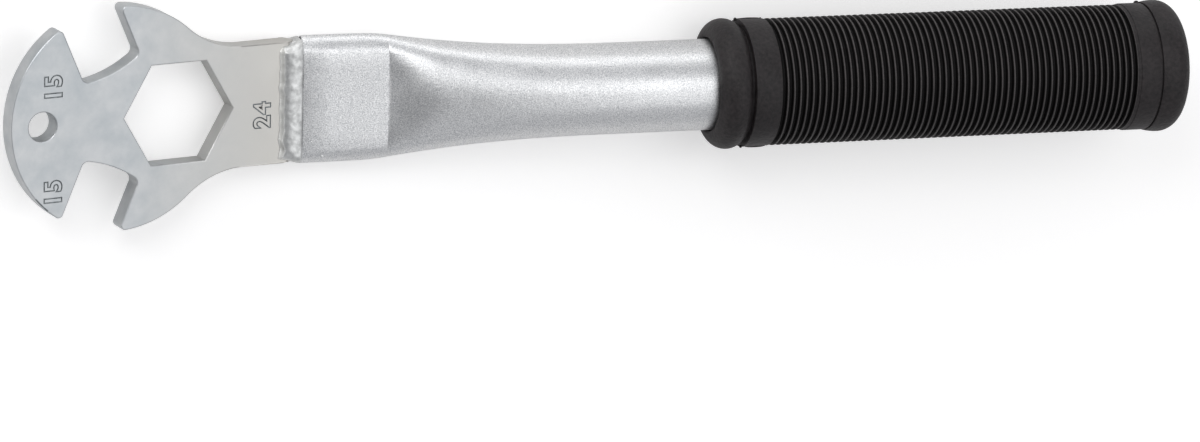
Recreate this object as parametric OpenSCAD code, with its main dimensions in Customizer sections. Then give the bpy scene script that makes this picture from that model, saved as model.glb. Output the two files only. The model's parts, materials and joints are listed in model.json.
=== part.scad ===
// Pedal wrench: a stamped steel head with a closed hexagon and two open jaws,
// welded into the flattened end of a steel tube that carries a ribbed rubber grip.
// It lies face up, as it comes to rest: X runs from the head to the grip, Z is up.

/* [Head plate] */
// Thickness of the stamped plate
plate_t = 5; // [3.6:0.1:6]
// Radius of the round head
head_r = 27.1; // [26:0.1:30]
// Nominal width across the flats of the closed hexagon
hex_af = 24; // [20:0.5:25]
// Nominal width of the two open jaws
jaw_af = 15; // [13:0.5:16]
// Extra width of every spanner opening over its nominal size
spanner_play = 0.15; // [0:0.05:0.3]
// Distance from the centre of the round head to the centre of the hexagon
hex_off = 15.5; // [15:0.1:18]
// Distance from the centre of the round head to the centre of the hanging hole
hole_off = 19.1; // [17:0.1:21]
// Diameter of the hanging hole
hole_d = 7; // [4:0.1:8]
// Angle by which each jaw leans back from square to the handle
jaw_lean = 23; // [15:0.5:28]
// Distance from the centre of the round head to the centre line of each jaw
jaw_off = 3.3; // [2:0.1:4]
// Distance from the centre of the round head to the floor of each jaw
jaw_floor = 10.9; // [10.5:0.1:14]
// Radius of the hollow floor of each jaw
floor_r = 28; // [16:1:60]
// Radius in the inner corners of each jaw
corner_r = 1.8; // [0.8:0.1:3]
// Radius on the four jaw tips
tip_r = 1.2; // [0.5:0.1:2]
// How far each edge of the neck stays inside the edge of the flattened tube
neck_step = 0.9; // [0.4:0.1:2]
// Radius of the sweep from the round head into the neck
sweep_r = 22; // [12:0.5:30]
// Distance from the centre of the hexagon to the bend line
neck_l = 27.6; // [22:0.1:40]
// Angle by which the head rises out of line with the handle
head_rise = 12.5; // [5:0.5:20]
// Length of the tongue behind the bend line, inside the tube
tongue_l = 20; // [12:0.5:24]

/* [Weld] */
// Width of the open joint between the neck and the mouth of the tube
joint_gap = 3.5; // [2:0.1:5]
// Length that the neck keeps its full width behind the bend line
shoulder_l = 1; // [0.5:0.1:2]
// How far the bead runs out over the faces of the neck
bead_run = 2.6; // [1:0.1:4]
// Height of the bead's crown above the flattened tube
bead_crown = 0.35; // [0.1:0.05:0.8]
// How far the ends of the bead stay below the edges of the neck
bead_dip = 0.5; // [0.2:0.1:1.5]

/* [Tube] */
// Outside diameter of the round tube
tube_d = 22; // [20:0.1:24]
// Wall of the tube
tube_wall = 1.2; // [0.8:0.1:2]
// Length of the tube from its flattened mouth to its rear end
tube_l = 216.5; // [180:0.5:260]
// Height of the flattened end, edge to edge
flat_h = 31.2; // [30:0.1:33]
// Gap between the tongue and each inner face of the flattened end
tongue_play = 0.05; // [0.02:0.01:0.2]
// Length of the flattened end, from its mouth to the crease
press_l = 21; // [21:0.5:30]
// Length over which the tube flows from the crease back to round
flow_l = 57.5; // [40:0.5:70]
// Length of the short steep rise beside the crease
step_l = 12; // [6:0.5:20]
// How far the flattened end lies behind the axis of the round tube
set_back = 2; // [0:0.1:3]

/* [Grip] */
// Length of the grip, closed end included
grip_l = 122; // [100:0.5:130]
// Thickness of the closed end behind the tube
grip_end_t = 3.8; // [2:0.1:8]
// Radius of the ribbed barrel over the rib crests
grip_r = 15.4; // [14:0.1:18]
// Radial gap between tube and grip
grip_fit = 0.05; // [0.02:0.01:0.2]
// Radius of the rolled front flange
flange_r = 15.8; // [14.5:0.1:18.5]
// Radius of the rounding on the front flange
flange_round = 4.6; // [3:0.1:5]
// Radius of the waist between the front flange and the collar
waist_r = 14.6; // [13:0.1:15]
// Distance from the front of the grip to the front collar
waist_l = 10.1; // [9:0.1:14]
// Width of the smooth front collar
collar_w = 6.5; // [3:0.1:12]
// Width of the smooth rear collar
rear_collar_w = 5.5; // [3:0.1:12]
// Radius of the rear collar
rear_collar_r = 15.6; // [14.5:0.1:18]
// Length of the rounded cap behind the rear collar
cap_l = 8.1; // [6:0.1:12]
// Largest radius of the rounded cap
cap_r = 16.2; // [15.5:0.1:19]
// Radius of the rounding at the rear rim of the cap
cap_round = 4.6; // [2:0.1:5]
// Radius of the swell in front of the cap's rim
cap_swell = 12; // [8:0.5:20]
// Width and depth of the parting groove in front of the cap
parting_w = 0.4; // [0.2:0.05:0.8]
// Pitch of the ribs
rib_pitch = 1.6; // [1.2:0.1:3]
// Width of each rib at its crest
rib_crest = 0.6; // [0.4:0.05:1.1]
// Depth of the grooves between the ribs
rib_depth = 0.75; // [0.3:0.05:1]
// Run-in of each groove's slanted walls
rib_slant = 0.18; // [0.05:0.01:0.25]
// Length of the flare in the mouth of the grip
flare_l = 2.2; // [1:0.1:4]
// Radial opening of the flare
flare_w = 1.1; // [0.5:0.1:1.6]

/* [Hidden] */
over = 1;
smooth = 96;

// Along the tube, from the bend line towards the grip
mouth_x = shoulder_l + joint_gap;
crease_x = mouth_x + press_l;
round_x = crease_x + flow_l;
tube_end_x = mouth_x + tube_l;
tube_r = tube_d / 2;
flat_t = plate_t + 2 * (tube_wall + tongue_play);

// The grip, seated with its closed end on the rear end of the tube
grip_x = tube_end_x + grip_end_t - grip_l;
collar_y = waist_l;
rib_y = collar_y + collar_w;
cap_y = grip_l - cap_l;
rear_collar_y = cap_y - rear_collar_w;
rib_n = floor((rear_collar_y - rib_y) / rib_pitch);
flange_c = flange_r - flange_round;
cap_c = cap_r - cap_round;

// Spanner openings and the sweep into the neck, from the centre of the round head
hex_w = hex_af + spanner_play;
jaw_w = jaw_af + spanner_play;
bend_off = hex_off + neck_l;
neck_w = flat_h - 2 * neck_step;
sweep_y = neck_w / 2 + sweep_r;
sweep_x = sqrt(pow(head_r + sweep_r, 2) - pow(sweep_y, 2));
corner_x = jaw_w / 2 - corner_r;
floor_cy = jaw_floor + floor_r;

// Curves that run into one another cross by this much instead of only touching
blend = 0.02;
bend_w = neck_w - 2 * blend;
corner_y = floor_cy - sqrt(pow(floor_r - corner_r, 2) - pow(corner_x, 2));

// Height of the tongue inside the flat walls of the pressed end
tongue_h = flat_h - flat_t;

// The bead, highest a little in front of the mouth of the tube
bead_top = 0.45;
bead_end_round = 0.6;
bead_h = flat_t / 2 + bead_crown;
bead_top_x = bead_top * mouth_x;
bead_end_r = bead_end_round * bead_h;

// The pressed section turns from a stadium into a circle. turn_at is the angle
// at which the end arc hands over to the face arc.
stadium_turn = 89.99;
round_turn = 45;
arc_n = 8;
taper_lead = 2.5;
taper_soft = 3;

// How the pressing fades: the share that runs out slowly, and how fast each fade starts
slow_share = 0.65;
slow_power = 2.5;
steep_power = 2;
drop_power = 1.5;

// What is left of a shape at x that starts to fade at x0 and is gone after len
function fade(x, x0, len, power) = pow(1 - max(0, min(1, (x - x0) / len)), power);
// The same start, eased over a short stretch
function eased(x, x0, soft) = (sqrt(pow(x - x0, 2) + pow(soft, 2)) + x - x0) / 2;

// Share of the pressing left: a steep rise at the crease, then a long run-out
function pressed(x) =
    slow_share * fade(x, crease_x, flow_l, slow_power)
    + (1 - slow_share) * fade(x, crease_x, step_l, steep_power);
function taper(x) =
    fade(eased(x, crease_x - taper_lead, taper_soft), 0, flow_l + taper_lead, slow_power);
function half_h(x) = tube_r + (flat_h / 2 - tube_r) * taper(x);
function half_t(x) = tube_r + (flat_t / 2 - tube_r) * pressed(x);
function turn_at(x) = round_turn + (stadium_turn - round_turn) * pressed(x);
function drop(x) = set_back * fade(x, crease_x, flow_l, drop_power);

// One quarter of the section: the end arc, then the face arc, as [y, z]
function quarter(h, t, turn) =
    let (spread = (h - t) / (sin(turn) + cos(turn) - 1))
    let (end_r = h - spread * cos(turn), face_r = t + spread * sin(turn))
    concat(
        [for (i = [0:arc_n - 1]) let (a = turn * i / arc_n)
            [h - end_r + end_r * cos(a), end_r * sin(a)]],
        [for (i = [0:arc_n - 1]) let (a = (90 - turn) * (1 - i / arc_n))
            [face_r * sin(a), t - face_r * (1 - cos(a))]]);

// The whole section as four mirrored quarters, counter-clockwise seen from +X
function section(x, inset) =
    let (q = quarter(half_h(x) - inset, half_t(x) - inset, turn_at(x)), n = len(q), z = -drop(x))
    concat(
        [for (i = [0:n - 1]) [x, q[i][0], z + q[i][1]]],
        [[x, 0, z + half_t(x) - inset]],
        [for (i = [1:n - 1]) [x, -q[n - i][0], z + q[n - i][1]]],
        [for (i = [0:n - 1]) [x, -q[i][0], z - q[i][1]]],
        [[x, 0, z - half_t(x) + inset]],
        [for (i = [1:n - 1]) [x, q[n - i][0], z - q[n - i][1]]]);

// Stations along the pressed end and its run-out, crowded together at the crease
press_n = 6;
flow_n = 18;
press_crowd = 0.6;
flow_crowd = 1.5;
stations = concat(
    [for (i = [0:press_n - 1]) mouth_x + press_l * pow(i / press_n, press_crowd)],
    [for (i = [0:flow_n]) crease_x + flow_l * pow(i / flow_n, flow_crowd)],
    [tube_end_x]);

// Pitch at which the wrench lies on the swell of the tube and the front flange
flange_x = grip_x + flange_round;
function lean_on(x) =
    let (dx = flange_x - x, dr = flange_c - (drop(x) + half_t(x)))
    atan2(dr, dx) + asin(flange_round / norm([dx, dr]));
rest_pitch = min([for (x = stations) if (x < round_x) lean_on(x)]);
rest_lift = flange_c * cos(rest_pitch) + flange_round - flange_x * sin(rest_pitch);

// Reach of the head and of the cap from the bend line, level with the ground
head_reach = (bend_off + head_r) * cos(head_rise - rest_pitch)
    + plate_t / 2 * sin(head_rise - rest_pitch) - set_back * sin(rest_pitch);
cap_reach = (grip_x + grip_l - cap_round) * cos(rest_pitch) + cap_c * sin(rest_pitch) + cap_round;

// Lays what is modelled along the tube's axis on the ground
module at_rest() {
    translate([(head_reach - cap_reach) / 2, 0, rest_lift])
        rotate([0, -rest_pitch, 0])
            children();
}

// Puts what is modelled flat, from the bend line, into the raised plane of the head
module raised() {
    translate([0, 0, -set_back])
        rotate([0, head_rise, 0])
            children();
}

// One open jaw, its floor an arc with rounded corners, opening along +Y. The floor's
// disc is cut to a fan through the corners that reaches past its rim.
module jaw_opening() {
    fan = 1.5;
    ray = fan * floor_r / (floor_r - corner_r) * [corner_x, corner_y - floor_cy];
    intersection() {
        polygon([[0, floor_cy], [-ray[0], floor_cy + ray[1]], [ray[0], floor_cy + ray[1]]]);
        translate([0, floor_cy])
            circle(r = floor_r, $fn = 4 * smooth);
    }
    for (side = [-1, 1])
        translate([side * corner_x, corner_y])
            circle(r = corner_r + blend, $fn = smooth);
    translate([-jaw_w / 2, corner_y])
        square([jaw_w, head_r]);
}

// What a rounded jaw tip leaves off, beside the wall at x = wall
module tip_cut(wall, side) {
    cx = wall + side * tip_r;
    cy = sqrt(pow(head_r - tip_r, 2) - pow(cx, 2));
    difference() {
        polygon([[cx, cy], [wall - side * over, cy], [wall - side * over, head_r + over],
            [cx, cy] * (head_r + over) / (head_r - tip_r)]);
        translate([cx, cy])
            circle(r = tip_r + blend, $fn = smooth);
    }
}

// Outline of the head and neck, from the centre of the round head
module head_outline() {
    difference() {
        union() {
            circle(r = head_r, $fn = 4 * smooth);
            translate([0, -neck_w / 2])
                square([bend_off, neck_w]);
            both_edges()
                difference() {
                    polygon([[0, 0], [sweep_x, 0], [sweep_x, sweep_y]]);
                    translate([sweep_x, sweep_y])
                        circle(r = sweep_r + blend, $fn = 2 * smooth);
                }
        }
        both_edges()
            rotate(jaw_lean) {
                translate([jaw_off, 0])
                    jaw_opening();
                tip_cut(jaw_off - jaw_w / 2, -1);
                tip_cut(jaw_off + jaw_w / 2, 1);
            }
    }
}

// The same shape at the upper and the lower edge of the head
module both_edges() {
    children();
    mirror([0, 1])
        children();
}

// The blade with its hexagon and hanging hole, flat, up to the bend line
module blade() {
    translate([-bend_off, 0, -plate_t / 2])
        difference() {
            linear_extrude(plate_t)
                head_outline();
            translate([hex_off, 0, -over])
                cylinder(d = hex_w / cos(30), h = plate_t + 2 * over, $fn = 6);
            translate([-hole_off, 0, -over])
                cylinder(d = hole_d, h = plate_t + 2 * over, $fn = smooth);
        }
}

// The outside of the bend, the square shoulder and the tongue that enters the tube
module tongue() {
    translate([0, 0, -set_back]) {
        rotate([90, 0, 0])
            cylinder(d = plate_t, h = bend_w, center = true, $fn = smooth);
        translate([0, -bend_w / 2, -plate_t / 2])
            cube([shoulder_l, bend_w, plate_t]);
        translate([0, -tongue_h / 2, -plate_t / 2])
            cube([tongue_l, tongue_h, plate_t]);
    }
}

module head_metal() {
    raised()
        blade();
    tongue();
}

module head_plate() {
    color("silver")
        at_rest()
            head_metal();
}

// The bead fills the joint between neck and tube and laps over the faces of the neck
module weld_bead() {
    color("gainsboro")
        at_rest()
            difference() {
                translate([0, 0, -set_back])
                    intersection() {
                        rotate([90, 0, 0])
                            linear_extrude(neck_w, center = true)
                                bead_profile();
                        translate([mouth_x, 0, 0])
                            rotate([0, -90, 0])
                                linear_extrude(mouth_x + bead_run)
                                    rounded_bar(2 * bead_h, neck_w - 2 * bead_dip, bead_end_r);
                    }
                head_metal();
            }
}

// Crown of the bead above and below the plate, as [x, height over the mid-plane]
module bead_profile() {
    for (face = [-1, 1]) {
        foot = plate_t / 2 / cos(head_rise) + face * bead_run * tan(head_rise);
        run = bead_run + bead_top_x;
        rise = bead_h - foot;
        crown_r = (run * run + rise * rise) / (2 * rise);
        intersection() {
            translate([bead_top_x, face * (bead_h - crown_r)])
                circle(r = crown_r, $fn = 2 * smooth);
            translate([-bead_run, face > 0 ? 0 : -bead_h])
                square([mouth_x + bead_run, bead_h]);
        }
    }
}

// A bar of width w and length l along Y, with its corners rounded
module rounded_bar(w, l, r) {
    for (sx = [-1, 1], sy = [-1, 1])
        translate([sx * (w / 2 - r), sy * (l / 2 - r)])
            circle(r = r, $fn = smooth);
    square([w, l - 2 * r], center = true);
    square([w - 2 * r, l], center = true);
}

// The handle: pressed flat at the mouth, creased, and flowing back to a round tube
module handle_tube() {
    n = len(section(mouth_x, 0));
    m = len(stations);
    skin = [for (x = stations) each section(x, 0)];
    bore = [for (x = stations) each section(x, tube_wall)];
    inner = n * m;
    sides = [for (k = [0:m - 2], i = [0:n - 1]) let (j = (i + 1) % n)
        [k * n + i, (k + 1) * n + i, (k + 1) * n + j, k * n + j]];
    color("lightgray")
        at_rest()
            polyhedron(
                points = concat(skin, bore),
                faces = concat(
                    sides,
                    [for (f = sides) [for (i = [3:-1:0]) inner + f[i]]],
                    [for (i = [0:n - 1]) let (j = (i + 1) % n) [i, j, inner + j, inner + i]],
                    [for (i = [0:n - 1]) let (j = (i + 1) % n, e = (m - 1) * n)
                        [e + j, e + i, inner + e + i, inner + e + j]]),
                convexity = 6);
}

// Half section of the grip as [radius, distance from its front]
module grip_section() {
    difference() {
        union() {
            translate([flange_c, flange_round])
                circle(r = flange_round, $fn = smooth);
            square([flange_c, 2 * flange_round]);
            translate([0, flange_round])
                square([waist_r, grip_l / 2]);
            translate([0, collar_y])
                square([grip_r, rear_collar_y - collar_y]);
            translate([0, rear_collar_y])
                square([rear_collar_r, rear_collar_w]);
            intersection() {
                translate([cap_r - cap_swell, grip_l - cap_round])
                    circle(r = cap_swell, $fn = 2 * smooth);
                translate([0, cap_y])
                    square([cap_r, cap_l - cap_round]);
            }
            translate([cap_c, grip_l - cap_round])
                circle(r = cap_round, $fn = smooth);
            translate([0, grip_l - cap_round])
                square([cap_c, cap_round]);
        }
        for (i = [0:rib_n - 1])
            translate([grip_r, rib_y + i * rib_pitch])
                rib_groove();
        translate([rear_collar_r - parting_w, cap_y - parting_w / 2])
            square([2 * parting_w, parting_w]);
        translate([-over, -over])
            square([tube_r + grip_fit + over, grip_l - grip_end_t + over]);
        polygon([[0, -over], [tube_r + grip_fit + flare_w, -over],
            [tube_r + grip_fit + flare_w, 0], [tube_r + grip_fit, flare_l], [0, flare_l]]);
    }
}

module rib_groove() {
    w = rib_pitch - rib_crest;
    polygon([[over, 0], [over, w], [0, w], [-rib_depth, w - rib_slant], [-rib_depth, rib_slant], [0, 0]]);
}

module rubber_grip() {
    color([0.16, 0.16, 0.17])
        at_rest()
            translate([grip_x, 0, 0])
                rotate([0, 90, 0])
                    rotate_extrude($fn = 2 * smooth)
                        grip_section();
}

head_plate();
weld_bead();
handle_tube();
rubber_grip();
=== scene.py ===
import json
import math
import bpy
import bmesh
from mathutils import Matrix, Vector, noise

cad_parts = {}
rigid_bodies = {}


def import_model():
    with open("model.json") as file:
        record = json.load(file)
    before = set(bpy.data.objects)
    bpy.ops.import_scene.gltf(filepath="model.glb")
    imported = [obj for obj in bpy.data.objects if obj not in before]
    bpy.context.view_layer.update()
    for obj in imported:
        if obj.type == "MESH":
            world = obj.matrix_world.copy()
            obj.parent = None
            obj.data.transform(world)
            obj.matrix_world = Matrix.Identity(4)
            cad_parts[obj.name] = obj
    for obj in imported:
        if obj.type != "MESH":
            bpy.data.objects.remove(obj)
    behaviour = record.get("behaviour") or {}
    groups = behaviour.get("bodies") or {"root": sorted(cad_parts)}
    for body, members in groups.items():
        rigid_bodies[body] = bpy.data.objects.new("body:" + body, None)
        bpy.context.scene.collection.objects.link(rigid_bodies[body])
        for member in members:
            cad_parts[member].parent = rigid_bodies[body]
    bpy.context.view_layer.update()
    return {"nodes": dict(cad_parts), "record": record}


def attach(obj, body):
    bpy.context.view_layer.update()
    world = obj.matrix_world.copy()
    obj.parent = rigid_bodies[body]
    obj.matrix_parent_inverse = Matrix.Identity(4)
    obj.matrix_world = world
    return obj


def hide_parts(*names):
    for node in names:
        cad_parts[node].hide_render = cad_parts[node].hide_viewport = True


# Pedal wrench, lying face up: stamped head, weld, pressed tube and ribbed grip.
# Lengths are in millimetres until a piece is laid in place, in metres.
for old in list(bpy.data.objects):
    bpy.data.objects.remove(old, do_unlink=True)
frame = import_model()
mm = 0.001

# How the wrench lies, from the hanging hole: the head's plane, the bend, then the handle
lie = {
    "holeToBend": 62.2,   # along the head
    "rise": 12.5,         # head out of line with the handle, degrees
    "setBack": 2.0,       # bend behind the axis of the tube
    "hexToBend": 27.6,
}


def layOut(origin, along):
    up = Vector((-along.z, 0, along.x))
    axes = Matrix((along, Vector((0, 1, 0)), up)).transposed().to_4x4()
    return Matrix.Translation(origin) @ axes @ Matrix.Scale(mm, 4)


hole = next(m for m in frame["record"]["mounts"] if m["name"] == "hanging_hole")
headUp = Vector(hole["axis"]).normalized()
headAlong = Vector((headUp.z, 0, -headUp.x))
bend = Vector(hole["pos_m"]) + headAlong * lie["holeToBend"] * mm
pitch = math.radians(lie["rise"]) - math.asin(headUp.x)
tubeAlong = Vector((math.cos(pitch), 0, math.sin(pitch)))
tubeUp = Vector((-math.sin(pitch), 0, math.cos(pitch)))
# The head's pieces start from the hexagon's centre, the tube's from the bend, on the tube's axis
headLay = layOut(bend - headAlong * lie["hexToBend"] * mm, headAlong)
tubeLay = layOut(bend + tubeUp * lie["setBack"] * mm, tubeAlong)

# Camera: the photograph's long lens, above the head and to its left
camera = {
    "place": (-515.11, 350.92, 1326.49),   # mm
    "aim": (-1.402, -31.01, 20.0),
    "roll": -125.416,                      # degrees
    "lens": 181.69,                        # on a 36 mm wide sensor
}


def makeCamera(c):
    data = bpy.data.cameras.new("camera")
    data.lens = c["lens"]
    data.sensor_width = 36
    data.clip_start, data.clip_end = 0.05, 20
    cam = bpy.data.objects.new("camera", data)
    place, aim = Vector(c["place"]) * mm, Vector(c["aim"]) * mm
    ahead = (aim - place).normalized()
    right = ahead.cross(Vector((0, 0, 1))).normalized()
    up = right.cross(ahead)
    turn = math.radians(c["roll"])
    rolledUp = up * math.cos(turn) + right * math.sin(turn)
    rolledRight = ahead.cross(rolledUp)
    axes = Matrix((rolledRight, rolledUp, -ahead)).transposed().to_4x4()
    cam.matrix_world = Matrix.Translation(place) @ axes
    bpy.context.scene.collection.objects.link(cam)
    bpy.context.scene.camera = cam


makeCamera(camera)
print("camera set")


# Materials

def linear(hexColor):
    rgb = [int(hexColor[i:i + 2], 16) / 255 for i in (1, 3, 5)]
    return (*[c / 12.92 if c <= 0.04045 else ((c + 0.055) / 1.055) ** 2.4 for c in rgb], 1)


def addNode(tree, kind, settings=None, inputs=None):
    node = tree.nodes.new(kind)
    for name, value in (settings or {}).items():
        setattr(node, name, value)
    for name, value in (inputs or {}).items():
        if isinstance(value, bpy.types.NodeSocket):
            tree.links.new(value, node.inputs[name])
        else:
            node.inputs[name].default_value = value
    return node


def newMaterial(name):
    material = bpy.data.materials.new(name)
    material.use_nodes = True
    tree = material.node_tree
    tree.nodes.clear()
    out = addNode(tree, "ShaderNodeOutputMaterial")
    coords = addNode(tree, "ShaderNodeTexCoord").outputs["Object"]
    return material, tree, out, coords


def grain(tree, coords, size, detail=2.0):
    # noise whose lumps are about size millimetres across
    inputs = {"Vector": coords, "Scale": 1 / (size * mm), "Detail": detail, "Roughness": 0.55}
    return addNode(tree, "ShaderNodeTexNoise", None, inputs).outputs["Fac"]


def remap(tree, value, low, high, fromLow=0.3, fromHigh=0.7):
    # from low to high over the range that noise fills, if no other is given
    inputs = {"Value": value, "To Min": low, "To Max": high}
    inputs.update({"From Min": fromLow, "From Max": fromHigh})
    return addNode(tree, "ShaderNodeMapRange", None, inputs).outputs["Result"]


def blendColors(tree, factor, dark, light):
    node = addNode(tree, "ShaderNodeMix", {"data_type": "RGBA"})
    tree.links.new(factor, node.inputs[0])
    node.inputs[6].default_value = linear(dark)
    node.inputs[7].default_value = linear(light)
    return node.outputs[2]


def goOver(tree, coords, color, other, start, stop, lay):
    # color goes over to the other between two places along the wrench
    ends = [(lay @ Vector((x, 0, 0))).x for x in (start, stop)]
    x = addNode(tree, "ShaderNodeSeparateXYZ", None, {"Vector": coords}).outputs["X"]
    node = addNode(tree, "ShaderNodeMix", {"data_type": "RGBA"})
    tree.links.new(remap(tree, x, 0.0, 1.0, *ends), node.inputs[0])
    tree.links.new(color, node.inputs[6])
    node.inputs[7].default_value = linear(other)
    return node.outputs[2]


def bumps(tree, height, depth):
    inputs = {"Height": height, "Distance": depth * mm}
    return addNode(tree, "ShaderNodeBump", None, inputs).outputs["Normal"]


zincSheet = {
    "dark": "#b4b9bc", "light": "#ced0d1",
    "warm": "#cac8c3",             # warmer and lighter towards the weld
    "from": -12.0, "to": 26.0,     # mm from the hexagon, between which it warms
    "roughness": (0.36, 0.42),
    "cloud": 6.0,      # mm, faint clouding of the plating, finer within
    "grit": 0.5,       # mm, tumbled surface
    "depth": 0.014,    # mm, height of the grit
}


def zincSheetMaterial(v):
    # Bright zinc on tumbled sheet steel: an even satin grey, faintly clouded, warmer at the weld
    material, tree, out, coords = newMaterial("zincPlatedTumbledSheet")
    cloud = grain(tree, coords, v["cloud"], 8.0)
    grit = grain(tree, coords, v["grit"], 3.0)
    cool = blendColors(tree, remap(tree, cloud, 0.0, 1.0), v["dark"], v["light"])
    color = goOver(tree, coords, cool, v["warm"], v["from"], v["to"], headLay)
    rough = remap(tree, cloud, *v["roughness"])
    normal = bumps(tree, grit, v["depth"])
    shader = addNode(tree, "ShaderNodeBsdfPrincipled", None, {
        "Base Color": color, "Metallic": 1.0, "Roughness": rough, "Normal": normal})
    tree.links.new(shader.outputs[0], out.inputs["Surface"])
    return material


# dark and light: painted shade in the stamped lines' recesses
stampedLineShade = {"dark": "#74797b", "light": "#999ea0", "cloud": 0.9, "roughness": 0.45}


def stampedLineShadeMaterial(v):
    # The stamped lines: duller zinc where the tumbling did not reach, painted darker as the shade
    # in their recesses
    material, tree, out, coords = newMaterial("zincWithPaintedShadeInStampedLines")
    cloud = grain(tree, coords, v["cloud"], 2.0)
    color = blendColors(tree, remap(tree, cloud, 0.0, 1.0), v["dark"], v["light"])
    shader = addNode(tree, "ShaderNodeBsdfPrincipled", None, {
        "Base Color": color, "Metallic": 1.0, "Roughness": v["roughness"]})
    tree.links.new(shader.outputs[0], out.inputs["Surface"])
    return material


zincTube = {
    "dark": "#bcbec0", "light": "#fafafa",
    "roughness": (0.34, 0.42),
    "cloud": 7.0,      # mm, faint clouding of the gloss
    "grit": 0.42,      # mm, blasted grain, drawn coarse enough to show as sparkle
    "speck": 0.252,    # mm, light and dark specks of the sparkle
    "depth": 0.040,    # mm, height of the grit
}


def zincTubeMaterial(v):
    # Zinc on blasted tube: brighter than the sheet, with a fine sparkling grain in its highlights
    material, tree, out, coords = newMaterial("zincPlatedBlastedTube")
    cloud = grain(tree, coords, v["cloud"], 2.0)
    grit = grain(tree, coords, v["grit"], 4.0)
    speck = grain(tree, coords, v["speck"], 1.0)
    color = blendColors(tree, remap(tree, speck, 0.0, 1.0), v["dark"], v["light"])
    rough = remap(tree, cloud, *v["roughness"])
    normal = bumps(tree, grit, v["depth"])
    shader = addNode(tree, "ShaderNodeBsdfPrincipled", None, {
        "Base Color": color, "Metallic": 1.0, "Roughness": rough, "Normal": normal})
    tree.links.new(shader.outputs[0], out.inputs["Surface"])
    return material


weldMetal = {
    "dark": "#c0c1c0", "light": "#dfe0df",
    "foot": "#eaeae7",             # painted paler where the bead meets the plate, lifting the shade on its steep slope
    "from": 0.3, "to": -0.8,       # mm from the bend, between which it pales
    "roughness": (0.36, 0.48),
    "lump": 1.3,       # mm, mottling
    "mottled": (0.35, 0.6),        # range of the noise that goes from dark to light
    "depth": 0.018,    # mm, height of the mottling
}


def weldMetalMaterial(v):
    # Plated weld metal: mottled, its dark spots duller, and painted pale along its foot, lifting
    # the shade there
    material, tree, out, coords = newMaterial("platedWeldMetal")
    lump = grain(tree, coords, v["lump"], 4.0)
    mottled = blendColors(tree, remap(tree, lump, 0.0, 1.0, *v["mottled"]), v["dark"], v["light"])
    color = goOver(tree, coords, mottled, v["foot"], v["from"], v["to"], tubeLay)
    rough = remap(tree, lump, *reversed(v["roughness"]))
    normal = bumps(tree, lump, v["depth"])
    shader = addNode(tree, "ShaderNodeBsdfPrincipled", None, {
        "Base Color": color, "Metallic": 1.0, "Roughness": rough, "Normal": normal})
    tree.links.new(shader.outputs[0], out.inputs["Surface"])
    return material


rubber = {
    "name": "mouldedMatteRubber",
    "dark": "#0a0809", "light": "#2e292a",
    "roughness": (0.48, 0.6),
    "mould": 0.9,      # mm, texture of the mould, drawn coarse enough to show
    "depth": 0.13,     # mm, its height
    "bloom": 14.0,     # mm, patches where the rubber has bloomed
    "speck": 0.6,      # how much of the change in colour is speckle and not patches
    "shine": 0.32,
}
# crests: lighter, partly wear and partly a painted highlight, and shinier
crestHighlightRubber = {
    **rubber,
    "name": "ribCrestRubberWithPaintedHighlight",
    "dark": "#2c2929", "light": "#403b3b",
    "shine": 0.5,
}
# grooves: painted near-black as the shade in them
grooveShadeRubber = {
    **rubber,
    "name": "rubberWithPaintedShadeInGrooves",
    "dark": "#0c0b0b", "light": "#100f0f",
    "shine": 0.12,
}


def rubberMaterial(v):
    # Moulded rubber: speckled charcoal and matte; the crests lighter, partly from wear and partly
    # a painted highlight, and shinier where hands rub them; black in the grooves as painted shade
    material, tree, out, coords = newMaterial(v["name"])
    bloom = grain(tree, coords, v["bloom"], 3.0)
    mould = grain(tree, coords, v["mould"], 3.0)
    patches = remap(tree, bloom, 0.0, 1 - v["speck"])
    specks = remap(tree, mould, 0.0, v["speck"])
    both = addNode(tree, "ShaderNodeMath", {"operation": "ADD"})
    tree.links.new(patches, both.inputs[0])
    tree.links.new(specks, both.inputs[1])
    color = blendColors(tree, both.outputs[0], v["dark"], v["light"])
    rough = remap(tree, bloom, *v["roughness"])
    normal = bumps(tree, mould, v["depth"])
    shader = addNode(tree, "ShaderNodeBsdfPrincipled", None, {
        "Base Color": color, "Roughness": rough, "Normal": normal,
        "Specular IOR Level": v["shine"]})
    tree.links.new(shader.outputs[0], out.inputs["Surface"])
    return material


# Making pieces

def share(x, start, stop):
    # how far x is on its way from start to stop, from 0 to 1
    return min(1.0, max(0.0, (x - start) / (stop - start)))


def fade(x, start, length, power):
    return (1 - share(x, start, start + length)) ** power


def addPiece(name, bm, lay, material, node, sharp):
    if lay is not None:
        bmesh.ops.transform(bm, matrix=lay, verts=bm.verts)
    bmesh.ops.recalc_face_normals(bm, faces=bm.faces)
    mesh = bpy.data.meshes.new(name)
    bm.to_mesh(mesh)
    bm.free()
    mesh.shade_smooth()
    mesh.set_sharp_from_angle(angle=math.radians(sharp))
    piece = bpy.data.objects.new(name, mesh)
    bpy.context.scene.collection.objects.link(piece)
    mesh.materials.append(material)
    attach(piece, "root")
    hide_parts(node)
    return piece


def copyNode(node, lay):
    # a node's mesh, its loose triangles joined, back in millimetres
    bm = bmesh.new()
    bm.from_mesh(frame["nodes"][node].data)
    bmesh.ops.transform(bm, matrix=lay.inverted(), verts=bm.verts)
    bmesh.ops.remove_doubles(bm, verts=bm.verts, dist=0.001)
    return bm


def meshOf(piece):
    # the piece's mesh with its modifiers applied
    shown = piece.evaluated_get(bpy.context.evaluated_depsgraph_get())
    return bpy.data.meshes.new_from_object(shown)


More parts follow.
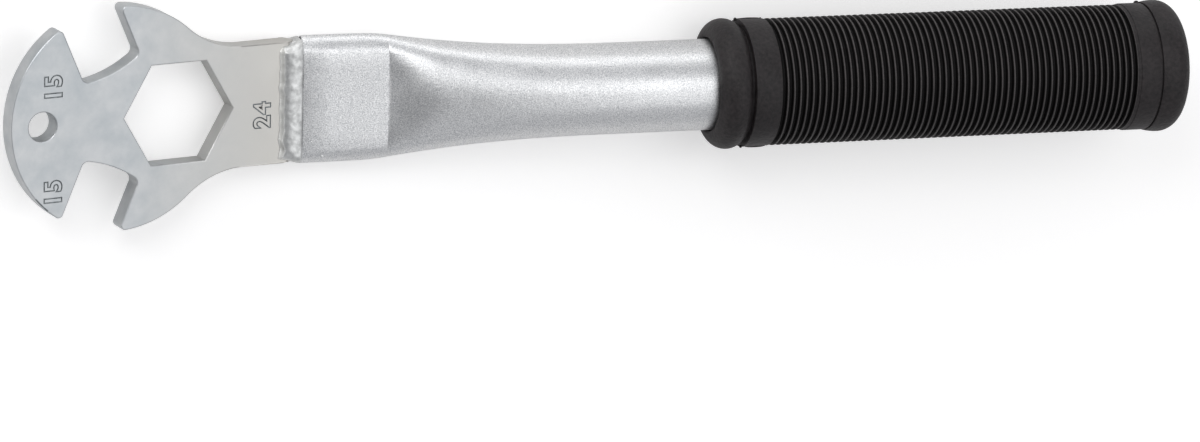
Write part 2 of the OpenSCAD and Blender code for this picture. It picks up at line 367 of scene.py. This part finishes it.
# Head plate: rounded stamped edges and the sizes stamped in outline
head = {
    "halfThick": 2.5,
    "neckHalf": 14.68,      # the sides of the bend, to which the neck's are brought flush
    "flush": 0.03,          # from within this
    "merge": 0.003,         # points closer than this are one
    "flat": 0.01,           # least angle of an edge that is kept, radians
    "edge": 0.32,           # rounding of the stamped edges
    "edgeSteps": 4,
    "sharp": 40,            # degrees
    "markHigh": 4.3,        # height of the numerals
    "capital": 0.73,        # height of a capital in the built-in face, for a size of 1
    "markApart": 1.16,      # spacing of the numerals
    "markFat": 0.20,        # by which their strokes are thickened
    "markLine": 0.19,       # half width of the stamped lines
    "markDeep": 0.07,       # how far their centres lie below the face
    "marks": [("15", -31.77, 9.06), ("15", -31.77, -16.11), ("24", 21.8, -2.5)],
}


def numeral(text, x, y, v):
    # one numeral as closed lines along its outline, sunk into the face and read from the side
    curve = bpy.data.curves.new("mark", "FONT")
    curve.body = text
    curve.align_x, curve.align_y = "CENTER", "CENTER"
    curve.size = v["markHigh"] / v["capital"]
    curve.offset = v["markFat"]
    curve.space_character = v["markApart"]
    curve.fill_mode = "NONE"
    curve.bevel_depth = v["markLine"]
    curve.bevel_resolution = 2
    mark = bpy.data.objects.new("mark", curve)
    bpy.context.scene.collection.objects.link(mark)
    mesh = meshOf(mark)
    bpy.data.objects.remove(mark, do_unlink=True)
    place = Matrix.Translation((x, y, v["halfThick"] - v["markDeep"]))
    mesh.transform(place @ Matrix.Rotation(math.radians(90), 4, "Z"))
    return mesh


def stampCutter(v):
    bm = bmesh.new()
    for mark in v["marks"]:
        bm.from_mesh(numeral(*mark, v))
    mesh = bpy.data.meshes.new("stamp")
    bm.to_mesh(mesh)
    bm.free()
    return bpy.data.objects.new("stamp", mesh)


def headPlate(v, material, lineShadeMaterial):
    bm = copyNode("head_plate", headLay)
    for vert in bm.verts:
        if abs(abs(vert.co.y) - v["neckHalf"]) < v["flush"]:
            vert.co.y = math.copysign(v["neckHalf"], vert.co.y)
    bmesh.ops.remove_doubles(bm, verts=bm.verts, dist=v["merge"])
    bmesh.ops.dissolve_limit(bm, angle_limit=v["flat"], verts=bm.verts, edges=bm.edges)
    # a stamped edge lies between an upright side and a level face
    stamped = []
    for edge in bm.edges:
        if len(edge.link_faces) != 2:
            continue
        side, face = sorted(abs(f.normal.z) for f in edge.link_faces)
        atFace = all(abs(abs(w.co.z) - v["halfThick"]) < 0.01 for w in edge.verts)
        if atFace and side < 0.1 and face > 0.99:
            stamped.append(edge)
    bmesh.ops.bevel(bm, geom=stamped, offset=v["edge"], offset_type="OFFSET",
                    segments=v["edgeSteps"], profile=0.5, affect="EDGES", material=-1,
                    clamp_overlap=False)
    piece = addPiece("headPlate", bm, None, material, "head_plate", v["sharp"])
    cutter = stampCutter(v)
    bpy.context.scene.collection.objects.link(cutter)
    cut = piece.modifiers.new("stamp", "BOOLEAN")
    cut.operation, cut.solver, cut.object = "DIFFERENCE", "MANIFOLD", cutter
    mesh = meshOf(piece)
    piece.modifiers.clear()
    piece.data = mesh
    bpy.data.objects.remove(cutter, do_unlink=True)
    # what lies just below the face, beside a mark, is a stamped line, which takes the painted
    # shade
    mesh.materials.append(lineShadeMaterial)
    for face in mesh.polygons:
        x, y, z = face.center
        nearMark = any(max(abs(x - mx), abs(y - my)) < v["markHigh"] for _, mx, my in v["marks"])
        if nearMark and 0.003 < v["halfThick"] - z < 2 * v["markLine"]:
            face.material_index = len(mesh.materials) - 1
    mesh.transform(headLay)
    mesh.set_sharp_from_angle(angle=math.radians(v["sharp"]))
    weigh = piece.modifiers.new("flatFaces", "WEIGHTED_NORMAL")
    weigh.keep_sharp = True
    weigh.weight = 100
    print("head plate made")


# Tube: pressed flat at its mouth, creased, flowing back to round
tube = {
    "radius": 11.0, "wall": 1.2,
    "mouth": 4.5, "press": 21.0, "flow": 57.5, "end": 221.0,
    "flowPower": 2.5,      # how the pressing fades over the flow
    "step": 12.0,          # part of it fades within this length
    "stepShare": 0.35, "stepPower": 2,
    "lead": 2.5,           # the sides draw in from this far ahead of the crease
    "leadSoft": 3,
    "dropPower": 1.5,      # how the set-back fades over the flow
    "halfHigh": 15.6, "halfDeep": 3.75,
    "roundTurn": 45.0,     # turn of the edge arcs in a round section and in a flat one, degrees
    "flatTurn": 89.99,
    "ease": (8.0, 0.35),   # where the pressed faces start to curve to their edges, and how much
    "arc": 20,             # points on each of a section's eight arcs
    "frontRings": (12, 0.6),   # count before and behind the crease, and how they crowd to it
    "backRings": (46, 1.5),
    "lip": 0.3,            # rounding of the mouth's edge
    "lipSteps": 3,
    "fold": 0.12,          # rings this near the crease keep its line crisp
    "scored": 0.05,        # depth of the line itself
    "sharp": 18,           # degrees
}


def tubeShape(x, v):
    # half height, half depth, turn of the end arc and drop of the section at x
    crease = v["mouth"] + v["press"]
    flowing = fade(x, crease, v["flow"], v["flowPower"])
    stepping = fade(x, crease, v["step"], v["stepPower"])
    pressed = (1 - v["stepShare"]) * flowing + v["stepShare"] * stepping
    ahead = x - (crease - v["lead"])
    eased = (math.hypot(ahead, v["leadSoft"]) + ahead) / 2
    taper = fade(eased, 0, v["flow"] + v["lead"], v["flowPower"])
    high = v["radius"] + (v["halfHigh"] - v["radius"]) * taper
    deep = v["radius"] + (v["halfDeep"] - v["radius"]) * pressed
    turn = math.radians(v["roundTurn"] + (v["flatTurn"] - v["roundTurn"]) * pressed)
    return high, deep, turn, lie["setBack"] * fade(x, crease, v["flow"], v["dropPower"])


def sectionPoint(place, high, deep, turn, arc):
    # place runs from 0 at one edge, over the face at 2 * arc, round to 8 * arc
    quarter, step = divmod(place, 2 * arc)
    if quarter % 2:
        step = 2 * arc - step
    spread = (high - deep) / (math.sin(turn) + math.cos(turn) - 1)
    if step <= arc:
        a, r = turn * step / arc, high - spread * math.cos(turn)
        y, z = high - r + r * math.cos(a), r * math.sin(a)
    else:
        a, r = (math.pi / 2 - turn) * (2 - step / arc), deep + spread * math.sin(turn)
        y, z = r * math.sin(a), deep - r * (1 - math.cos(a))
    return (-y if quarter in (1, 2) else y), (-z if quarter > 1 else z)


def tubeStations(v):
    # where the rings stand and their inset: round the lip, then closest together at the crease
    mouth, crease = v["mouth"], v["mouth"] + v["press"]
    turns = [math.radians(90 * i / v["lipSteps"]) for i in range(v["lipSteps"] + 1)]
    lip = [(mouth + v["lip"] * (1 - math.cos(a)), v["lip"] * (1 - math.sin(a))) for a in turns]
    count, crowd = v["frontRings"]
    front = [(mouth + v["press"] * (i / count) ** crowd, 0) for i in range(2, count)]
    fold = [(crease - v["fold"], 0), (crease, 0), (crease + v["fold"], 0)]
    count, crowd = v["backRings"]
    back = [(crease + v["flow"] * (i / count) ** crowd, 0) for i in range(2, count + 1)]
    return lip + front + fold + back + [(v["end"], 0)]


def handleTube(v, material):
    stations = tubeStations(v)
    around, rings = 8 * v["arc"], len(stations)
    # a unit pipe with a ring for each station, whose points then move to their sections
    bm = bmesh.new()
    bmesh.ops.create_cone(bm, segments=around, radius1=1, radius2=1, depth=1, cap_ends=False)
    lengthwise = [e for e in bm.edges if abs(e.verts[0].co.z - e.verts[1].co.z) > 0.5]
    bmesh.ops.subdivide_edges(bm, edges=lengthwise, cuts=rings - 2)
    for vert in bm.verts:
        ring = round((vert.co.z + 0.5) * (rings - 1))
        place = round(math.atan2(vert.co.y, vert.co.x) / math.tau * around) % around
        x, inset = stations[ring]
        high, deep, turn, drop = tubeShape(x, v)
        y, z = sectionPoint(place, high - inset, deep - inset, turn, v["arc"])
        start, amount = v["ease"]
        pressed = (v["radius"] - deep) / (v["radius"] - v["halfDeep"])
        toEdge = max(0, abs(y) - start) / (v["halfHigh"] - start)
        z *= 1 - amount * pressed * toEdge ** 2
        if abs(x - v["mouth"] - v["press"]) < v["fold"] / 2:
            z *= 1 - v["scored"] / v["halfDeep"]
        vert.co = (x, y, z - drop)
    bmesh.ops.recalc_face_normals(bm, faces=bm.faces)
    piece = addPiece("handleTube", bm, tubeLay, material, "handle_tube", v["sharp"])
    wall = piece.modifiers.new("wall", "SOLIDIFY")
    wall.thickness = v["wall"] * mm
    wall.offset = -1
    print("handle tube made")


# Weld: the bead's own solid, cast lumpy, with a little spatter beside it
weld = {
    "voxel": 0.22,
    "soften": (0.5, 3),       # strength and rounds of smoothing
    "ripple": (1.9, 0.015),   # spacing and height of the ripples along the bead
    "stray": (1.2, 0.35),     # how far the ripples stray, and how often
    "bow": 0.25,              # how much they bow towards the tube
    "lump": (2.4, 0.075),     # size and height of the softer lumps
    "finer": (2.3, 0.5),      # lumps on the lumps: how much finer, and their share of the height
    "sink": 0.04,             # the surface lies this much lower, so its lumps stay in the solid
    "held": (3.7, 4.3),       # the side at the tube stays in place, wholly after the second
    "foot": (-2.6, -1.1),     # where the bead starts on the plate, in the solid and drawn in
    "drawn": 1.0,             # what lies before this is drawn in
    "wander": (0.5, 2.5),     # how far that line strays, and over what length
    "full": (0.30, 0.8),      # how much fuller than a straight slope it stands, and its form
    "toe": (1.2, 1.5),        # length over which the bead rises from nothing, and its form
    "notch": (12.4, 0.55),    # from here to its upper end the bead falls off this steeply
    "notchTo": (2.0, 4.0),    # and less and less between these
    "wide": 1.058,            # towards the tube it widens to the lip of the mouth
    "widens": (1.0, 3.5),
    "sharp": 60,              # degrees
    "spatter": [(9.5, -13.2, 0.30), (7.6, 10.9, 0.22), (6.8, -9.6, 0.20), (11.2, -10.4, 0.16)],
    "spatterHigh": 1.75,      # place of its centres
    "spatterFlat": (1.2, 1, 0.7, 1),
}


def castPoint(p, normal, v):
    # where a point of the bead's solid lies on the bead as it is cast
    (stray, often), (spacing, rippleHigh) = v["stray"], v["ripple"]
    along = p.y + stray * noise.noise(p * often)
    ripple = rippleHigh * math.sin(math.tau * along / spacing + v["bow"] * p.x * p.x)
    (size, lumpHigh), (finer, part) = v["lump"], v["finer"]
    lump = lumpHigh * (noise.noise(p / size) + part * noise.noise(p * finer / size))
    p = p + normal * (1 - share(p.x, *v["held"])) * (ripple + lump - v["sink"])
    # the foot is drawn in along a wandering line
    (start, drawnIn), (far, length) = v["foot"], v["wander"]
    drawnIn += far * noise.noise((0, p.y / length, 7))
    if p.x < v["drawn"]:
        p.x = v["drawn"] + (p.x - v["drawn"]) * (v["drawn"] - drawnIn) / (v["drawn"] - start)
    # the slope is full, and rises from the plate's face
    fuller, form = v["full"]
    if p.z > 0:
        p.z += fuller * math.sin(math.pi * share(p.x, drawnIn, tube["mouth"])) ** form
    rise = math.radians(lie["rise"])
    face = head["halfThick"] / math.cos(rise) - lie["setBack"] - p.x * math.tan(rise)
    length, form = v["toe"]
    if p.z > face:
        p.z -= (p.z - face) * fade(p.x, drawnIn, length, form)
    # its upper end falls off, and its end at the tube is as wide as the mouth
    start, steep = v["notch"]
    if p.z > 0:
        p.z -= min(p.z, max(0.0, p.y - start) * steep * (1 - share(p.x, *v["notchTo"])))
    p.y *= 1 + (v["wide"] - 1) * share(p.x, *v["widens"])
    return p


def weldBead(v, material):
    bm = copyNode("weld_bead", tubeLay)
    mesh = bpy.data.meshes.new("bead")
    bm.to_mesh(mesh)
    bm.free()
    rough = bpy.data.objects.new("bead", mesh)
    bpy.context.scene.collection.objects.link(rough)
    cast = rough.modifiers.new("cast", "REMESH")
    cast.mode, cast.voxel_size = "VOXEL", v["voxel"]
    soft = rough.modifiers.new("soft", "SMOOTH")
    soft.factor, soft.iterations = v["soften"]
    mesh = meshOf(rough)
    bpy.data.objects.remove(rough, do_unlink=True)
    bm = bmesh.new()
    bm.from_mesh(mesh)
    for vert in bm.verts:
        vert.co = castPoint(vert.co, vert.normal, v)
    for x, y, radius in v["spatter"]:
        drop = bmesh.ops.create_icosphere(bm, subdivisions=3, radius=radius)
        place = Matrix.Translation((x, y, v["spatterHigh"])) @ Matrix.Diagonal(v["spatterFlat"])
        bmesh.ops.transform(bm, matrix=place, verts=drop["verts"])
    addPiece("weldBead", bm, tubeLay, material, "weld_bead", v["sharp"])
    print("weld bead made")


# Grip: one moulding, turned from its half section
grip = {
    "front": 102.8, "long": 122.0, "bore": 11.05, "endThick": 3.8,
    "lipBack": 1.95,       # the flange starts this much behind the solid's, as it does in life
    "mouth": 11.3, "mouthDeep": 2.4, "lip": 0.5, "lipAt": 0.1,
    "flange": 15.8, "flangeRound": 4.3,
    "waist": 14.6, "waistDip": 0.1,
    "undercut": (0.75, 0.55, 0.08),     # start, and start and end of its floor, before the collar
    "undercutDeep": 0.65,
    "collar": 10.1, "collarWide": 6.5,
    "collarProud": 0.06,                # by which the collar stands over the barrel
    "crisp": 0.12,                      # rounding of the collars' corners
    "barrel": 15.4, "pitch": 1.6, "crest": 0.42, "groove": 1.2, "slant": 0.14, "soft": 0.16,
    "grooveFoot": (0.05, 0.15, 0.06),   # start, end and height of the curve into a groove's floor
    "ribs": 57,
    "rearCollar": 15.6, "rearCollarAt": 108.4, "rearCrisp": 0.15, "capAt": 113.9,
    "cap": 16.2, "capRound": 4.6, "capSwell": 12.0, "parting": 0.4,
    "endDish": (5.0, 0.02),             # radius and depth of the faint ring in the end face
    "around": 128,
    "sharp": 38,                        # degrees
    # left by the mould, on a plane turned this much from the wrench's own, degrees
    "mouldTurn": -14.9,
    # middle, half length and side
    "flash": [(13.3, 3.3, 1), (13.6, 2.6, -1)],
    "flashThick": (0.32, 0.22),
    # place, radius and side
    "nubs": [(10.0, 0.42, 1), (10.0, 0.34, -1), (16.4, 0.26, 1), (113.5, 0.75, 1)],
}


def arcOf(x, r, radius, start, stop, steps):
    # points of an arc about (x, r), angles in degrees from the handle's direction
    angles = [math.radians(start + (stop - start) * i / steps) for i in range(steps + 1)]
    return [(x + radius * math.cos(a), r + radius * math.sin(a)) for a in angles]


def gripProfile(v):
    inside = v["long"] - v["endThick"]
    back = v["lipBack"]
    points = [(inside, 0.0), (inside, v["bore"]), (back + v["mouthDeep"], v["bore"])]
    # lip, flange and waist
    points += arcOf(back + v["lip"] + v["lipAt"], v["mouth"] + v["lip"], v["lip"], 270, 180, 5)
    middle = v["flange"] - v["flangeRound"]
    down = math.degrees(math.asin((v["waist"] - middle) / v["flangeRound"]))
    rise = math.degrees(math.acos((v["mouth"] + v["lip"] - middle) / v["flangeRound"]))
    points += arcOf(back + v["flangeRound"], middle, v["flangeRound"], 90 + rise, down, 26)
    # undercut in front of the collar, and the collar's crisp corner
    start, floorFrom, floorTo = [v["collar"] - x for x in v["undercut"]]
    floor = v["waist"] - v["undercutDeep"]
    points += [(start, v["waist"] - v["waistDip"]), (floorFrom, floor), (floorTo, floor)]
    crisp = v["crisp"]
    top = v["barrel"] + v["collarProud"]
    points += arcOf(v["collar"] + crisp, top - crisp, crisp, 180, 90, 3)
    # ribs: each groove, then a crest with soft corners
    soft, deep = v["soft"], v["barrel"] - v["groove"]
    footFrom, footTo, footHigh = v["grooveFoot"]
    for i in range(v["ribs"]):
        x = v["collar"] + v["collarWide"] + i * v["pitch"]
        far = x + v["pitch"] - v["crest"]
        left, right = x + v["slant"], far - v["slant"]
        points += arcOf(x - soft, v["barrel"] - soft, soft, 90, 10, 2)
        points += [(left + footFrom, deep + footHigh), (left + footTo, deep)]
        points += [(right - footTo, deep), (right - footFrom, deep + footHigh)]
        points += arcOf(far + soft, v["barrel"] - soft, soft, 170, 90, 2)
    # rear collar, parting line and the rounded cap
    step, corner = v["rearCollarAt"], v["rearCrisp"]
    points += [(step, v["barrel"])]
    points += arcOf(step + corner, v["rearCollar"] - corner, corner, 160, 90, 2)
    lineFrom, lineTo = v["capAt"] - v["parting"] / 2, v["capAt"] + v["parting"] / 2
    points += arcOf(lineFrom - crisp, v["rearCollar"] - crisp, crisp, 90, 0, 2)
    points += [(x, v["rearCollar"] - v["parting"]) for x in (lineFrom, lineTo)]
    rim = v["long"] - v["capRound"]
    fromEdge = 90 + math.degrees(math.asin((rim - lineTo) / v["capSwell"]))
    points += arcOf(rim, v["cap"] - v["capSwell"], v["capSwell"], fromEdge, 90, 6)
    points += arcOf(rim, v["cap"] - v["capRound"], v["capRound"], 90, 0, 16)[1:]
    radius, dish = v["endDish"]
    return points + [(v["long"] - dish, radius), (v["long"], 0.0)]


def rubberGrip(v, materials):
    bm = bmesh.new()
    corners = [bm.verts.new((v["front"] + x, 0, r)) for x, r in gripProfile(v)]
    line = [bm.edges.new(pair) for pair in zip(corners, corners[1:])]
    bmesh.ops.spin(bm, geom=corners + line, cent=(0, 0, 0), axis=(1, 0, 0), dvec=(0, 0, 0),
                   angle=math.tau, steps=v["around"], use_merge=True, use_duplicate=False)
    bmesh.ops.remove_doubles(bm, verts=bm.verts, dist=0.0005)
    # the crests are rubbed and painted lighter as their highlight, the grooves painted dark as
    # shade
    ribsFrom = v["front"] + v["collar"] + v["collarWide"]
    ribsTo = ribsFrom + v["ribs"] * v["pitch"]
    for face in bm.faces:
        middle = face.calc_center_median()
        radius = math.hypot(middle.y, middle.z)
        if ribsFrom < middle.x < ribsTo and radius > v["barrel"] - 2 * v["groove"]:
            face.material_index = 1 if radius > v["barrel"] - v["soft"] else 2
    # flash and nubs are drawn out of balls
    turn = Matrix.Rotation(math.radians(v["mouldTurn"]), 4, "X")
    balls = [(x, side, (half, *v["flashThick"], 1)) for x, half, side in v["flash"]]
    balls += [(x, side, (radius, radius, radius, 1)) for x, radius, side in v["nubs"]]
    for x, side, size in balls:
        ball = bmesh.ops.create_icosphere(bm, subdivisions=3, radius=1)
        place = turn @ Matrix.Translation((v["front"] + x, side * v["barrel"], 0))
        bmesh.ops.transform(bm, matrix=place @ Matrix.Diagonal(size), verts=ball["verts"])
    piece = addPiece("rubberGrip", bm, tubeLay, materials[0], "rubber_grip",
                     v["sharp"])
    for material in materials[1:]:
        piece.data.materials.append(material)
    print("grip made")


# Studio: pale floor, a broad soft light overhead with a brighter strip in it, a long low light
# beside the tube, low lights at the head, and a key light that throws the shadow
studio = {
    "floor": "#f4f3f2",
    "floorLift": 0.33,      # light that the floor gives to the camera alone
    "floorHalf": 4.0,       # m
    "fibre": 0.8,           # mm, surface of the card
    "fibreDeep": 0.01,
    "sky": "#dfe0e3",
    # the room is darker towards one side, above the head's end: level, side and cosines
    "skyLevel": 0.71, "darkLevel": 0.37,
    "darkSide": (-0.62, -0.08, 0.78),
    "darkFrom": 0.70, "darkTo": 0.95,
    # m and W
    "lights": {
        "top": {"place": (0.44, 0.0, 1.05), "aim": (0.44, 0.0, 0.0),
                "size": (0.75, 1.5), "power": 2.5},
        "crown": {"place": (0.28, 0.27, 0.96), "aim": (0.28, 0.27, 0.0),
                  "size": (0.65, 0.30), "power": 0.62},
        "strip": {"place": (0.1, 1.0, 0.08), "aim": (0.1, 0.0, 0.0),
                  "size": (2.0, 0.3), "power": 3.3},
        "edge": {"place": (-0.74, 0.68, 0.38), "aim": (-0.1, 0.0, 0.0),
                 "size": (0.35, 0.35), "power": 1.8},
        "left": {"place": (-1.0, 0.0, 0.17), "aim": (-0.1, 0.0, 0.0),
                 "size": (1.2, 0.25), "power": 0.9},
        "key": {"place": (-0.52, 0.64, 0.88), "aim": (0.05, 0.0, 0.0),
                "size": (0.45, 0.45), "power": 2.5},
    },
}


def makeFloor(v):
    # Pale studio card: matte and faintly fibrous
    material, tree, out, coords = newMaterial("paleStudioCard")
    normal = bumps(tree, grain(tree, coords, v["fibre"]), v["fibreDeep"])
    color = linear(v["floor"])
    card = addNode(tree, "ShaderNodeBsdfDiffuse", None, {"Color": color, "Normal": normal})
    path = addNode(tree, "ShaderNodeLightPath").outputs
    strength = addNode(tree, "ShaderNodeMath", {"operation": "MULTIPLY"})
    tree.links.new(path["Is Camera Ray"], strength.inputs[0])
    strength.inputs[1].default_value = v["floorLift"]
    glow = addNode(tree, "ShaderNodeEmission", None, {"Strength": strength.outputs[0]})
    both = addNode(tree, "ShaderNodeAddShader")
    tree.links.new(card.outputs[0], both.inputs[0])
    tree.links.new(glow.outputs[0], both.inputs[1])
    tree.links.new(both.outputs[0], out.inputs["Surface"])
    bm = bmesh.new()
    bmesh.ops.create_grid(bm, x_segments=1, y_segments=1, size=v["floorHalf"])
    mesh = bpy.data.meshes.new("floor")
    bm.to_mesh(mesh)
    bm.free()
    floor = bpy.data.objects.new("floor", mesh)
    mesh.materials.append(material)
    bpy.context.scene.collection.objects.link(floor)


def makeLight(name, v):
    data = bpy.data.lights.new(name, "AREA")
    data.shape = "RECTANGLE"
    data.size, data.size_y = v["size"]
    data.energy = v["power"]
    light = bpy.data.objects.new(name, data)
    place, aim = Vector(v["place"]), Vector(v["aim"])
    turn = (aim - place).to_track_quat("-Z", "Y").to_matrix().to_4x4()
    light.matrix_world = Matrix.Translation(place) @ turn
    bpy.context.scene.collection.objects.link(light)


def makeSky(v):
    world = bpy.data.worlds.new("studio")
    world.use_nodes = True
    tree = world.node_tree
    tree.nodes.clear()
    toward = addNode(tree, "ShaderNodeTexCoord").outputs["Object"]
    side = addNode(tree, "ShaderNodeVectorMath", {"operation": "DOT_PRODUCT"})
    tree.links.new(toward, side.inputs[0])
    side.inputs[1].default_value = Vector(v["darkSide"]).normalized()
    level = remap(tree, side.outputs["Value"], v["skyLevel"], v["darkLevel"],
                  v["darkFrom"], v["darkTo"])
    color = linear(v["sky"])
    sky = addNode(tree, "ShaderNodeBackground", None, {"Color": color, "Strength": level})
    out = addNode(tree, "ShaderNodeOutputWorld")
    tree.links.new(sky.outputs[0], out.inputs["Surface"])
    bpy.context.scene.world = world


headPlate(head, zincSheetMaterial(zincSheet), stampedLineShadeMaterial(stampedLineShade))
handleTube(tube, zincTubeMaterial(zincTube))
weldBead(weld, weldMetalMaterial(weldMetal))
rubberGrip(grip, [rubberMaterial(v) for v in (rubber, crestHighlightRubber, grooveShadeRubber)])
makeFloor(studio)
for name, values in studio["lights"].items():
    makeLight(name, values)
makeSky(studio)
bpy.context.scene.view_settings.view_transform = "Standard"
print("studio lit")
